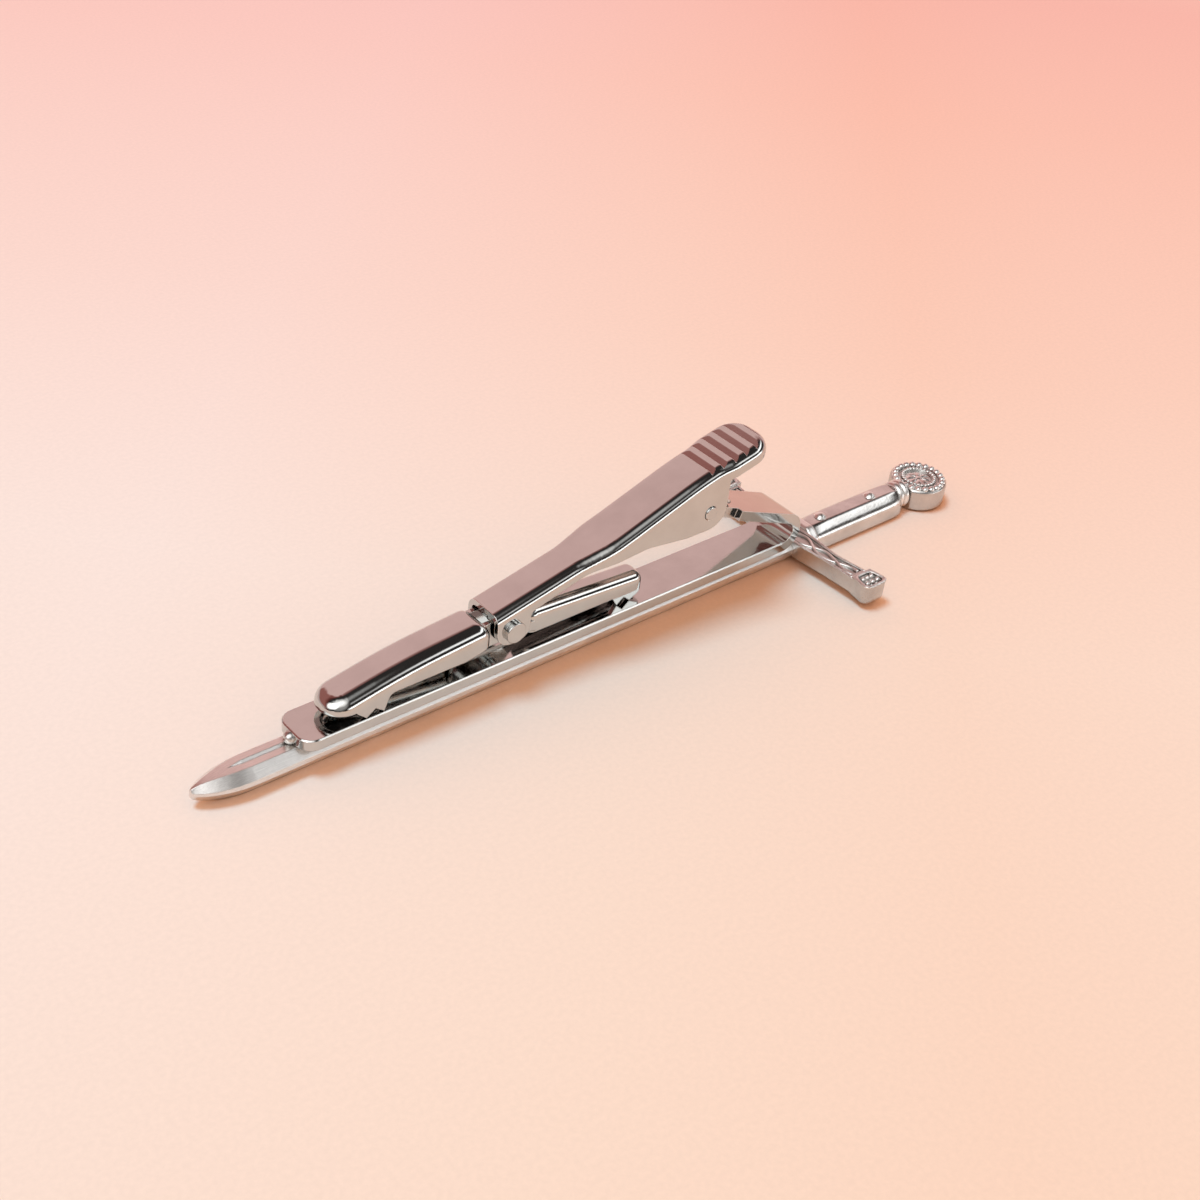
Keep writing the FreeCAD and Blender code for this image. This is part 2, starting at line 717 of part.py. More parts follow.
def make_cup(profile, hollow, outline, edge_radius, outline_hollow):
    low = strip_top_z - overcut
    high = pin_z
    cup = side_prism(profile, 2 * lever_thumb_width).common(plan_prism(outline, low, high))
    cup = cup.makeFillet(edge_radius, top_edges(cup))
    inside = side_prism(hollow, 2 * lever_thumb_width)
    inside = inside.common(plan_prism(outline_hollow, low - overcut, high))
    return cup.cut(inside.makeFillet(edge_radius - jaw_sheet, top_edges(inside)))


def jaw_outline(start, end, width, radii, inset):
    """A rounded plan from start to end, with corner radii at its two ends."""
    half = width / 2 - inset
    first, last = radii
    return [(start, -half, first), (end, -half, last), (end, half, last), (start, half, first)]


def make_front_cup():
    start = jaw_rivet_x - jaw_front_reach
    end = jaw_rivet_x - jaw_front_tail
    crown_x = jaw_rivet_x - jaw_front_crown_reach
    low_top = strip_top_z + jaw_front_low_height
    crown = strip_top_z + jaw_front_crown_height
    high_top = strip_top_z + jaw_front_high_height
    rim = strip_top_z + jaw_rim_height
    arch = strip_top_z + jaw_front_arch_height
    teeth = tooth_line(start + tooth_front_set_back, tooth_front_pitch)
    heel_x = teeth[-1][0] + tooth_heel
    profile = [(start, low_top, 0), (start, rim, 0), (teeth[0][0] - tooth_lead, rim, 0), *teeth,
               (heel_x, arch, jaw_front_arch_radius), (jaw_rivet_x - jaw_front_arch_reach, arch, 0),
               (end, strip_top_z + jaw_front_tail_height, 0), (end, high_top, 0),
               (crown_x, crown, jaw_front_crown_radius)]
    low = strip_top_z - 2 * overcut
    rise = (high_top - crown) / (end - crown_x)
    hollow = [(start, low_top - jaw_sheet, 0), (start, low, 0), (end + overcut, low, 0),
              (end + overcut, high_top + overcut * rise - jaw_sheet, 0),
              (crown_x, crown - jaw_sheet, jaw_front_crown_radius)]
    outline = jaw_outline(start, end, jaw_front_width, (jaw_front_width / 2, jaw_front_corner_radius), 0.0)
    inner_radius = jaw_front_width / 2 - jaw_sheet
    inner = jaw_outline(start + jaw_sheet, end + overcut, jaw_front_width, (inner_radius, 0), jaw_sheet)
    return make_cup(profile, hollow, outline, jaw_front_edge_radius, inner)


def make_back_cup():
    start = jaw_rivet_x + jaw_back_tail
    end = jaw_rivet_x + jaw_back_reach
    high_top = strip_top_z + jaw_back_high_height
    low_top = strip_top_z + jaw_back_low_height
    rim = strip_top_z + jaw_rim_height
    arch = strip_top_z + jaw_back_arch_height
    teeth = tooth_line(end - tooth_back_set_back, -tooth_back_pitch)
    heel_x = teeth[-1][0] - tooth_heel
    profile = [(end, low_top, 0), (end, rim, 0), *teeth, (heel_x, arch, 0), (start, arch, 0),
               (start, high_top, 0)]
    low = strip_top_z - 2 * overcut
    rise = (high_top - low_top) / (end - start)
    hollow = [(end, low_top - jaw_sheet, 0), (end, low, 0), (start - overcut, low, 0),
              (start - overcut, high_top + overcut * rise - jaw_sheet, 0)]
    outline = jaw_outline(start, end, jaw_back_width, (jaw_back_corner_radius, jaw_back_corner_radius), 0.0)
    inner_radius = jaw_back_corner_radius - jaw_sheet
    inner = jaw_outline(start - overcut, end - jaw_sheet, jaw_back_width, (0, inner_radius), jaw_sheet)
    return make_cup(profile, hollow, outline, jaw_back_edge_radius, inner)


def make_neck_plate(turn):
    start = jaw_rivet_x - jaw_front_tail - neck_front_overlap
    end = jaw_rivet_x + jaw_back_tail + neck_back_overlap
    top = strip_top_z + neck_height
    back_top = strip_top_z + jaw_back_high_height - jaw_back_edge_radius
    low = strip_top_z + neck_low_height
    corners = [(start, top, neck_corner_radius), (start, low, 0),
               (jaw_rivet_x + front_ear_radius, low, neck_corner_radius),
               (end, strip_top_z + jaw_back_arch_height, 0), (end, back_top - jaw_sheet, 0),
               (jaw_rivet_x + jaw_back_tail, back_top, neck_corner_radius),
               (jaw_rivet_x + front_ear_radius / 2, top, neck_corner_radius)]
    inner = jaw_back_width / 2 - jaw_sheet
    wire = rounded_wire(corners, lambda a, b: side(a, b, inner if turn > 0 else -inner - jaw_sheet))
    return Part.Face(wire).extrude(Vector(0, jaw_sheet, 0))


def make_jaw():
    jaw = make_front_cup().fuse([make_back_cup(), make_neck_plate(1), make_neck_plate(-1)])
    hole_radius = jaw_rivet_shank_diameter / 2 + pin_clearance
    hole = cross_pin(jaw_rivet_x, jaw_rivet_z, hole_radius, jaw_front_width)
    return jaw.cut(hole).removeSplitter()


# Spring
def tangent_angle(point, sense):
    """The coil angle at which a straight leg from a point meets the coil. Sense is 1 where it arrives."""
    a = point[0] - pin_x
    b = point[1] - pin_z
    return math.atan2(b, a) + sense * math.acos(spring_coil_radius / math.hypot(a, b))


def arc_edge(start, corner, end):
    """The arc that leaves start towards corner and reaches end, both equally far from the corner."""
    chord_middle = (start + end) / 2
    bulge = corner - chord_middle
    half_chord = (end - start).Length / 2
    quarter_turn = math.atan2(bulge.Length, half_chord) / 2
    crown = chord_middle + bulge * (half_chord * math.tan(quarter_turn) / bulge.Length)
    return Part.Arc(start, crown, end).toShape()


def biarc(start, start_way, end, end_way):
    """Two arcs that join two points along two unit directions."""
    span = end - start
    ways = start_way + end_way
    a = 2 * (start_way.dot(end_way) - 1)
    b = -2 * span.dot(ways)
    reach = (-b - math.sqrt(b * b - 4 * a * span.dot(span))) / (2 * a)
    first_corner = start + start_way * reach
    second_corner = end - end_way * reach
    joint = (first_corner + second_corner) / 2
    return [arc_edge(start, first_corner, joint), arc_edge(joint, second_corner, end)]


def coil_point(angle, share):
    y = spring_coil_length * (share - 0.5)
    return Vector(pin_x + spring_coil_radius * math.cos(angle), y,
                  pin_z + spring_coil_radius * math.sin(angle))


def make_lever_spring():
    wire_radius = spring_wire / 2
    arm_seat = arm_point(spring_arm_leg, arm_top() + wire_radius + spring_seat_clearance)
    thumb_x = pin_x + spring_thumb_leg
    thumb_depth = lever_sheet + wire_radius + spring_thumb_clearance
    thumb_seat = (thumb_x, top_height(thumb_x, thumb_depth))
    start_angle = tangent_angle(arm_seat, 1)
    end_angle = tangent_angle(thumb_seat, -1)
    while end_angle < start_angle:
        end_angle += 2 * math.pi
    end_angle += spring_whole_turns * 2 * math.pi
    sweep = end_angle - start_angle
    steps = max(2, round(sweep / (2 * math.pi) * spring_steps_per_turn))
    climb = spring_coil_length / sweep

    def coil_way(share):
        # The wire leaves the coil square to the pin, so that the legs lie in upright planes.
        angle = start_angle + share * sweep
        rise = climb if 0 < share < 1 else 0.0
        way = Vector(-spring_coil_radius * math.sin(angle), rise, spring_coil_radius * math.cos(angle))
        return way.normalize()

    shares = [index / steps for index in range(steps + 1)]
    coil = []
    for share, following in zip(shares, shares[1:]):
        angle = start_angle + share * sweep
        next_angle = start_angle + following * sweep
        coil += biarc(coil_point(angle, share), coil_way(share),
                      coil_point(next_angle, following), coil_way(following))
    first = coil_point(start_angle, 0.0)
    last = coil_point(end_angle, 1.0)
    arm_leg_length = math.hypot(arm_seat[0] - first.x, arm_seat[1] - first.z)
    arm_end = first - coil_way(0) * arm_leg_length
    thumb_leg_length = math.hypot(thumb_seat[0] - last.x, thumb_seat[1] - last.z)
    thumb_corner = last + coil_way(1) * thumb_leg_length
    slope = math.radians(lever_thumb_slope)
    foot_way = Vector(math.cos(slope), 0, math.sin(slope))
    half_turn = coil_way(1).getAngle(foot_way) / 2
    foot_reach = spring_foot_radius * math.tan(half_turn)
    bend_start = thumb_corner - coil_way(1) * foot_reach
    bend_end = thumb_corner + foot_way * foot_reach
    edges = [Part.LineSegment(arm_end, first).toShape(), *coil,
             Part.LineSegment(last, bend_start).toShape(), arc_edge(bend_start, thumb_corner, bend_end),
             Part.LineSegment(bend_end, bend_end + foot_way * spring_foot_length).toShape()]
    path = Part.Wire(edges)
    section = Part.Wire(Part.makeCircle(wire_radius, arm_end, coil_way(0)))
    spring = path.makePipeShell([section], True, False)
    print("spring least gap to itself", round(least_gap(path), 3))
    print("spring volume over section times length",
          round(spring.Volume / (math.pi * wire_radius ** 2 * path.Length), 4))
    return spring


def least_gap(path):
    """The least gap between stretches of the wire that aren't neighbours along it."""
    count = spring_gap_points
    points = path.discretize(Number=count)
    skip = math.ceil(4 * spring_wire / (path.Length / (count - 1)))
    gaps = [points[i].distanceToPoint(points[j]) for i in range(count) for j in range(i + skip, count)]
    return min(gaps) - spring_wire


PIECES = {
    "blade": make_blade,
    "crossguard": make_crossguard,
    "guard_collar": make_guard_collar,
    "grip": make_grip,
    "grip_rivets": make_grip_rivets,
    "pommel_collar": make_pommel_collar,
    "pommel": make_pommel,
    "solder_bond": make_solder_bond,
    "base_plate": make_base_plate,
    "lever": make_lever,
    "lever_pin": make_lever_pin,
    "lever_spring": make_lever_spring,
    "jaw": make_jaw,
    "jaw_rivet": make_jaw_rivet,
}

os.makedirs("parts", exist_ok=True)
for name, make in PIECES.items():
    shape = make()
    shape.exportStep("parts/" + name + ".step")
    print(name, "solids", len(shape.Solids), "valid", shape.isValid(), "volume", round(shape.Volume, 3))
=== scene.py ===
"""Dresses a tie clip in the form of a sword: plated metal, cast ornament, the wound spring and a studio."""

import json
import math

import bmesh
import bpy
from mathutils import Matrix, Vector


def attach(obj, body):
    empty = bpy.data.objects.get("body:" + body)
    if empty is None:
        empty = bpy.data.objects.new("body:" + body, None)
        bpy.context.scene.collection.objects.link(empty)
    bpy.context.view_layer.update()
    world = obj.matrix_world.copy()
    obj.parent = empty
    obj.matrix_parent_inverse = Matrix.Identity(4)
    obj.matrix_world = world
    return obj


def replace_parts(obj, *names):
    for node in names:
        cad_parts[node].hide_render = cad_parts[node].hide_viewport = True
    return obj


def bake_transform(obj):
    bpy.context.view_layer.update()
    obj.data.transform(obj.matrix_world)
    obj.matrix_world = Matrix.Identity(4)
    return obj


MM = 0.001
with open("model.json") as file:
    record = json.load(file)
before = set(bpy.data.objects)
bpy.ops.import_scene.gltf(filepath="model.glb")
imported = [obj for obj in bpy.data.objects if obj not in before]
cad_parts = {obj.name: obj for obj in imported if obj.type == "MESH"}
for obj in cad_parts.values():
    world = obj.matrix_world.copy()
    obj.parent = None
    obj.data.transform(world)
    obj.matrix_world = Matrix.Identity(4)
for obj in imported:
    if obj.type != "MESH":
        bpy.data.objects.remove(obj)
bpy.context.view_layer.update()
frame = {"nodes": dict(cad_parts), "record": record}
nodes = frame["nodes"]
scene = bpy.context.scene

# Camera at the photograph's place, with its lens
CAMERA_PLACE_MM = (-82.94571, -82.86531, 86.15548)
CAMERA_RIGHT = (0.76049219, -0.64191891, 0.09793741)
CAMERA_DOWN = (-0.31676111, -0.49839731, -0.80700838)
CAMERA_AHEAD = (0.56684568, 0.58270081, -0.58236221)
CAMERA_SENSOR_MM = 36.0
CAMERA_LENS_MM = 53.70447
CAMERA_NEAREST = 0.002
CAMERA_FARTHEST = 20.0


def make_camera():
    data = bpy.data.cameras.new("camera")
    data.sensor_width = CAMERA_SENSOR_MM
    data.lens = CAMERA_LENS_MM
    data.clip_start = CAMERA_NEAREST
    data.clip_end = CAMERA_FARTHEST
    camera = bpy.data.objects.new("camera", data)
    axes = Matrix((Vector(CAMERA_RIGHT), -Vector(CAMERA_DOWN), -Vector(CAMERA_AHEAD)))
    place = Matrix.Translation(Vector(CAMERA_PLACE_MM) * MM)
    camera.matrix_world = place @ axes.transposed().to_4x4()
    scene.collection.objects.link(camera)
    scene.camera = camera


# Shader helpers
def add_node(tree, kind, values=None, **settings):
    """Adds a node. A value for a socket is a constant, or another node's output to link."""
    node = tree.nodes.new(kind)
    for name, value in settings.items():
        setattr(node, name, value)
    for socket, value in (values or {}).items():
        if isinstance(value, bpy.types.NodeSocket):
            tree.links.new(value, node.inputs[socket])
        else:
            node.inputs[socket].default_value = value
    return node


def ramp(tree, factor, stops):
    """A colour ramp through (place, colour) stops."""
    node = add_node(tree, "ShaderNodeValToRGB", {"Fac": factor})
    elements = node.color_ramp.elements
    while len(elements) < len(stops):
        elements.new(0.5)
    for element, (place, colour) in zip(elements, stops):
        element.position = place
        element.color = (*colour, 1.0)
    return node.outputs["Color"]


def add_values(tree, first, second):
    return add_node(tree, "ShaderNodeMath", {0: first, 1: second}, operation="ADD").outputs[0]


def mix_values(tree, share, first, second):
    """Mixes two numbers. A Mix node has its sockets for numbers at 2 and 3."""
    return add_node(tree, "ShaderNodeMix", {0: share, 2: first, 3: second}).outputs[0]


def mix_colours(tree, share, first, second, blend="MIX"):
    """Mixes two colours. A Mix node has its sockets for colours at 6 and 7, and the result at 2."""
    values = {0: share, 6: first, 7: second}
    return add_node(tree, "ShaderNodeMix", values, data_type="RGBA", blend_type=blend).outputs[2]


def dot(tree, first, second):
    values = {0: first, 1: second}
    return add_node(tree, "ShaderNodeVectorMath", values, operation="DOT_PRODUCT").outputs["Value"]


def combine(tree, operation, first, second):
    """Adds, multiplies or takes the larger of two colours, channel by channel."""
    return add_node(tree, "ShaderNodeVectorMath", {0: first, 1: second}, operation=operation).outputs[0]


def share_between(tree, value, low, high):
    """Carries a value to 0 at low and to 1 at high, and no further."""
    values = {"Value": value, "From Min": low, "From Max": high}
    return add_node(tree, "ShaderNodeMapRange", values).outputs[0]


def spread(tree, value, low, high):
    """Carries a 0 to 1 value to a range."""
    values = {"Value": value, "To Min": low, "To Max": high}
    return add_node(tree, "ShaderNodeMapRange", values).outputs[0]


def bump(tree, height, depth_mm, normal):
    """A normal bent by a 0 to 1 height that stands depth_mm tall."""
    values = {"Strength": 1.0, "Distance": depth_mm * MM, "Height": height, "Normal": normal}
    return add_node(tree, "ShaderNodeBump", values).outputs[0]


NOISE_ROUGHNESS = 0.55


def noise(tree, vector, size_mm, detail, stretch=(1, 1, 1)):
    """Cloudy noise whose features are about size_mm across, longer along an axis stretched above 1."""
    scale = [1 / (size_mm * MM * s) for s in stretch]
    mapped = add_node(tree, "ShaderNodeMapping", {"Vector": vector, "Scale": scale})
    values = {"Vector": mapped.outputs[0], "Scale": 1.0, "Detail": detail, "Roughness": NOISE_ROUGHNESS}
    return add_node(tree, "ShaderNodeTexNoise", values).outputs["Fac"]


# Plated metal. Roughness and shares are 0 to 1
WHITE = (1.0, 1.0, 1.0)
BLACK = (0.0, 0.0, 0.0)
CLOUD_MM = 2.6
CLOUD_DETAIL = 4.0
WIPE_MM = 0.05
WIPE_DETAIL = 2.0
WIPE_STRETCH = (26, 1, 1)
PIT_MM = 0.22
PIT_DETAIL = 3.0
TONE_DULL_AT = 0.32
TONE_BRIGHT_AT = 0.68
RECESS_SHADE_DARK_AT = 0.12
RECESS_SHADE_CLEAR_AT = 0.62
RECESS_SHADE_SAMPLES = 8
EDGE_SAMPLES = 6
SCRATCH_DEPTH_MM = 0.006
# Lighter colour on edges: a painted edge highlight, partly standing for wear
WORN_HIGHLIGHT_COLOUR = (0.92, 0.91, 0.89, 1.0)
WORN_HIGHLIGHT_STARTS_AT = 0.985
WORN_HIGHLIGHT_FULL_AT = 0.88
WORN_ROUGHNESS = 0.3


def plated_metal(name, bright, dull, recess_shade, recess_shade_mm, roughness, edge_mm, lump_mm, scratches, streaks=0.0):
    """Plated metal with a cloudy tone, wiping scratches, lumps, painted shade in its recesses and lighter
    edges, a painted highlight partly standing for wear.
    """
    material = bpy.data.materials.new(name)
    material.use_nodes = True
    tree = material.node_tree
    tree.nodes.clear()
    place = add_node(tree, "ShaderNodeTexCoord").outputs["Object"]
    cloud = noise(tree, place, CLOUD_MM, CLOUD_DETAIL)
    wiped = noise(tree, place, WIPE_MM, WIPE_DETAIL, WIPE_STRETCH)
    pits = noise(tree, place, PIT_MM, PIT_DETAIL)

    mottle = mix_values(tree, streaks, cloud, wiped)
    tone = ramp(tree, mottle, [(TONE_DULL_AT, dull), (TONE_BRIGHT_AT, bright)])
    # Painted shade: the colour darkens where ambient occlusion finds surfaces close by, in recesses and under
    # parts. On the cast sword it also stands for grey patina in the hollows
    shade = add_node(tree, "ShaderNodeAmbientOcclusion", {"Distance": recess_shade_mm * MM}, samples=RECESS_SHADE_SAMPLES)
    recess_shade_tone = ramp(tree, shade.outputs["AO"], [(RECESS_SHADE_DARK_AT, recess_shade), (RECESS_SHADE_CLEAR_AT, WHITE)])
    colour = mix_colours(tree, 1.0, tone, recess_shade_tone, "MULTIPLY")
    smoothest, roughest = roughness
    gloss = add_values(tree, spread(tree, cloud, smoothest, roughest), spread(tree, wiped, 0.0, scratches))

    rounded = add_node(tree, "ShaderNodeBevel", {"Radius": edge_mm * MM}, samples=EDGE_SAMPLES).outputs[0]
    lumpy = bump(tree, pits, lump_mm, rounded)
    scratched = bump(tree, wiped, SCRATCH_DEPTH_MM * scratches, lumpy)

    # An edge is where the rounded normal leans away from the face's own. There the colour turns lighter and
    # rougher: a painted edge highlight, partly standing for worn plating
    facet = add_node(tree, "ShaderNodeNewGeometry").outputs["Normal"]
    worn_edge_highlight = share_between(tree, dot(tree, rounded, facet), WORN_HIGHLIGHT_STARTS_AT, WORN_HIGHLIGHT_FULL_AT)
    colour = mix_colours(tree, worn_edge_highlight, colour, WORN_HIGHLIGHT_COLOUR)
    gloss = add_values(tree, gloss, spread(tree, worn_edge_highlight, 0.0, WORN_ROUGHNESS))
    shader = add_node(tree, "ShaderNodeBsdfPrincipled", {"Base Color": colour, "Metallic": 1.0,
                                                         "Roughness": gloss, "Normal": scratched})
    add_node(tree, "ShaderNodeOutputMaterial", {"Surface": shader.outputs[0]})
    return material


clip_metal = plated_metal("clip_plate", bright=(0.60, 0.61, 0.60), dull=(0.55, 0.555, 0.545),
                          recess_shade=(0.16, 0.15, 0.14), recess_shade_mm=1.0, roughness=(0.03, 0.07),
                          edge_mm=0.08, lump_mm=0.0012, scratches=0.07)
base_metal = plated_metal("base_plate", bright=(0.60, 0.61, 0.60), dull=(0.55, 0.555, 0.545),
                          recess_shade=(0.34, 0.32, 0.30), recess_shade_mm=0.6, roughness=(0.03, 0.07),
                          edge_mm=0.08, lump_mm=0.0012, scratches=0.07)
# A lighter, streakier copy of the sword plating: a painted highlight on the blade
blade_lit_copy = plated_metal("blade_plate_painted_highlight", bright=(0.93, 0.925, 0.91), dull=(0.66, 0.655, 0.645),
                           recess_shade=(0.36, 0.33, 0.31), recess_shade_mm=0.3, roughness=(0.20, 0.32),
                           edge_mm=0.10, lump_mm=0.008, scratches=0.12, streaks=0.55)
sword_metal = plated_metal("sword_plate", bright=(0.74, 0.74, 0.73), dull=(0.56, 0.555, 0.545),
                           recess_shade=(0.36, 0.33, 0.31), recess_shade_mm=0.3, roughness=(0.12, 0.20),
                           edge_mm=0.10, lump_mm=0.007, scratches=0.08)
# A darker copy of the sword plating: painted shade on the crossguard and pommel
hilt_shaded_copy = plated_metal("hilt_plate_painted_shade", bright=(0.66, 0.66, 0.65), dull=(0.50, 0.495, 0.485),
                          recess_shade=(0.20, 0.18, 0.17), recess_shade_mm=0.35, roughness=(0.20, 0.30),
                          edge_mm=0.12, lump_mm=0.007, scratches=0.08)
# A lighter copy of the sword plating for beads, strands, rims, rivets and collars: a painted highlight,
# partly standing for rubbed wear
ornament_lit_copy = plated_metal("ornament_plate_painted_highlight", bright=(0.95, 0.95, 0.94), dull=(0.82, 0.82, 0.81),
                              recess_shade=(0.42, 0.39, 0.37), recess_shade_mm=0.2, roughness=(0.26, 0.36),
                              edge_mm=0.04, lump_mm=0.004, scratches=0.05)
spring_metal = plated_metal("spring_wire", bright=(0.82, 0.815, 0.805), dull=(0.64, 0.635, 0.625),
                            recess_shade=(0.4, 0.39, 0.38), recess_shade_mm=0.45, roughness=(0.2, 0.32),
                            edge_mm=0.02, lump_mm=0.002, scratches=0.1)
solder_metal = plated_metal("solder", bright=(0.68, 0.675, 0.66), dull=(0.55, 0.545, 0.53),
                            recess_shade=(0.4, 0.39, 0.38), recess_shade_mm=0.45, roughness=(0.2, 0.34),
                            edge_mm=0.05, lump_mm=0.01, scratches=0.05)

# A node listed here takes a lit or shaded copy of the plating: the blade and the ornament a lighter one
# (painted highlight), the crossguard and pommel a darker one (painted shade), the base plate one with lighter
# painted recess shade. Every other node takes its slot's finish
SLOT_FINISHES = {"sword_metal": sword_metal, "clip_metal": clip_metal, "spring_wire": spring_metal,
                 "solder": solder_metal}
LIT_AND_SHADED_FINISHES = {"blade": blade_lit_copy, "crossguard": hilt_shaded_copy, "pommel": hilt_shaded_copy,
                "base_plate": base_metal, "grip_rivets": ornament_lit_copy,
                "pommel_collar": ornament_lit_copy, "guard_collar": ornament_lit_copy}
for subpart in frame["record"]["subparts"]:
    data = nodes[subpart["node"]].data
    data.materials.clear()
    data.materials.append(LIT_AND_SHADED_FINISHES.get(subpart["node"], SLOT_FINISHES[subpart["material_slot"]]))


# Piece helpers. Sizes are in millimetres
UP = Vector((0, 0, 1))
BEAD_SEGMENTS = 24
BEAD_RINGS = 14


def finish_piece(name, bm, material):
    data = bpy.data.meshes.new(name)
    bmesh.ops.recalc_face_normals(bm, faces=bm.faces)
    bm.to_mesh(data)
    bm.free()
    data.polygons.foreach_set("use_smooth", [True] * len(data.polygons))
    data.materials.append(material)
    piece = bpy.data.objects.new(name, data)
    scene.collection.objects.link(piece)
    return piece


def add_bead(bm, x, y, z, radius, height):
    """A rounded boss, partly sunk in what it stands on."""
    place = Matrix.Translation(Vector((x, y, z)) * MM)
    stretch = Matrix.Diagonal((radius * MM, radius * MM, height * MM, 1))
    bmesh.ops.create_uvsphere(bm, u_segments=BEAD_SEGMENTS, v_segments=BEAD_RINGS, radius=1.0,
                              matrix=place @ stretch)


def close_rings(bm, rings):
    """Joins each ring of points to the next, and closes both ends."""
    sides = len(rings[0])
    for ring, following in zip(rings, rings[1:]):
        for step in range(sides):
            after = (step + 1) % sides
            bm.faces.new((ring[step], ring[after], following[after], following[step]))
    bm.faces.new(rings[0])
    bm.faces.new(rings[-1])


def sweep(bm, points, lift, half_width, half_height, sides=14):
    """A closed bar of oval section along points. Lift is the direction of its height."""
    rings = []
    for index, point in enumerate(points):
        ahead = points[min(index + 1, len(points) - 1)] - points[max(index - 1, 0)]
        aside = ahead.cross(lift).normalized()
        rise = aside.cross(ahead).normalized()
        ring = []
        for step in range(sides):
            turn = 2 * math.pi * step / sides
            offset = aside * (half_width * math.cos(turn)) + rise * (half_height * math.sin(turn))
            ring.append(bm.verts.new((point + offset) * MM))
        rings.append(ring)
    close_rings(bm, rings)


def between(value, places):
    """Reads a value off straight runs between (place, value) pairs."""
    for (start, first), (end, second) in zip(places, places[1:]):
        if value <= end:
            return first + (second - first) * (value - start) / (end - start)
    return places[-1][1]


# Crossguard ornament. The pairs give a value at a distance from the guard's middle
GUARD_X = 19.5526
GUARD_TOP = 2.2
GUARD_LEAN = [(0.0, 0.0), (4.9, 0.0), (7.9, 0.3)]
GUARD_EDGE = [(0.0, 0.93), (1.9, 0.925), (2.7, 0.88), (4.5, 0.71), (5.3, 0.69), (7.9, 0.8)]
STRAND_SWING = [(0.0, 0.58), (2.3, 0.58), (4.9, 0.36), (7.6, 0.46)]
STRAND_REACH = 7.5
STRAND_PITCH = 2.75
STRAND_STEPS = 150
STRAND_SINK = 0.14
STRAND_WEAVE = 0.05
STRAND_HALF_WIDTH = 0.12
STRAND_HALF_HEIGHT = 0.15


def make_interlace():
    """Two strands that cross over and under each other along the crossguard's sunk panel."""
    bm = bmesh.new()
    for strand in (-1, 1):
        points = []
        for step in range(STRAND_STEPS + 1):
            y = STRAND_REACH * (2 * step / STRAND_STEPS - 1)
            phase = math.pi * y / STRAND_PITCH
            swing = between(abs(y), STRAND_SWING)
            middle_x = GUARD_X + between(abs(y), GUARD_LEAN)
            points.append(Vector((middle_x + strand * swing * math.sin(phase), y,
                                  GUARD_TOP - STRAND_SINK + strand * STRAND_WEAVE * math.cos(phase))))
        sweep(bm, points, UP, STRAND_HALF_WIDTH, STRAND_HALF_HEIGHT)
    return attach(finish_piece("guard_interlace", bm, ornament_lit_copy), "sword")


RIM_REACH = 7.9
RIM_STEPS = 80
RIM_SINK = 0.03
RIM_RADIUS = 0.10
BLOCK_X = GUARD_X + 0.5
BLOCK_Y = 8.97
BLOCK_RIM_RISE = 0.06
BLOCK_RIM_STEPS = 48
BLOCK_RIM_RADIUS = 0.11
BLOCK_HALF_WIDTH = 1.08
BLOCK_HALF_LENGTH = 0.87
BLOCK_FLARE = 0.2
BLOCK_SQUARENESS = 5


def make_guard_rims():
    """Rounded ridges along both edges of the crossguard's panel and round the tops of its end blocks."""
    bm = bmesh.new()
    for edge in (-1, 1):
        points = []
        for step in range(RIM_STEPS + 1):
            y = RIM_REACH * (2 * step / RIM_STEPS - 1)
            x = GUARD_X + between(abs(y), GUARD_LEAN) + edge * between(abs(y), GUARD_EDGE)
            points.append(Vector((x, y, GUARD_TOP - RIM_SINK)))
        sweep(bm, points, UP, RIM_RADIUS, RIM_RADIUS)
        middle = Vector((BLOCK_X, edge * BLOCK_Y, GUARD_TOP + BLOCK_RIM_RISE))
        points = []
        for step in range(BLOCK_RIM_STEPS + 1):
            turn = 2 * math.pi * step / BLOCK_RIM_STEPS
            across = math.cos(turn)
            along = math.sin(turn)
            bulk = abs(across) ** BLOCK_SQUARENESS + abs(along) ** BLOCK_SQUARENESS
            away = bulk ** (-1 / BLOCK_SQUARENESS)
            reach = away * along
            x = (BLOCK_HALF_WIDTH + BLOCK_FLARE * reach) * away * across
            points.append(middle + Vector((x, edge * BLOCK_HALF_LENGTH * reach, 0)))
        sweep(bm, points, UP, BLOCK_RIM_RADIUS, BLOCK_RIM_RADIUS)
    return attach(finish_piece("guard_rims", bm, ornament_lit_copy), "sword")


BLOCK_BEAD_Y = 8.64
BLOCK_BEAD_Z = 2.06
BLOCK_BEAD_RADIUS = 0.24
BLOCK_BEAD_HEIGHT = 0.36
BLOCK_BEAD_PITCH = 0.50
BLOCK_BEAD_FLARE = 0.1
BLOCK_BEAD_ROW_PITCH = 0.62


def make_block_beads():
    """Two rows of three beads on each end block of the crossguard."""
    bm = bmesh.new()
    for end in (-1, 1):
        for row in (0, 1):
            for column in (-1, 0, 1):
                x = BLOCK_X + column * (BLOCK_BEAD_PITCH + BLOCK_BEAD_FLARE * row)
                y = end * (BLOCK_BEAD_Y + BLOCK_BEAD_ROW_PITCH * row)
                add_bead(bm, x, y, BLOCK_BEAD_Z, BLOCK_BEAD_RADIUS, BLOCK_BEAD_HEIGHT)
    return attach(finish_piece("guard_beads", bm, ornament_lit_copy), "sword")


# Pommel ornament. A ring of beads has a count, a reach, a bead's radius and height, and a level
POMMEL_X = 36.3773
POMMEL_BEADING = ((22, 2.17, 0.32, 0.31, 2.14), (27, 1.47, 0.17, 0.15, 2.22))


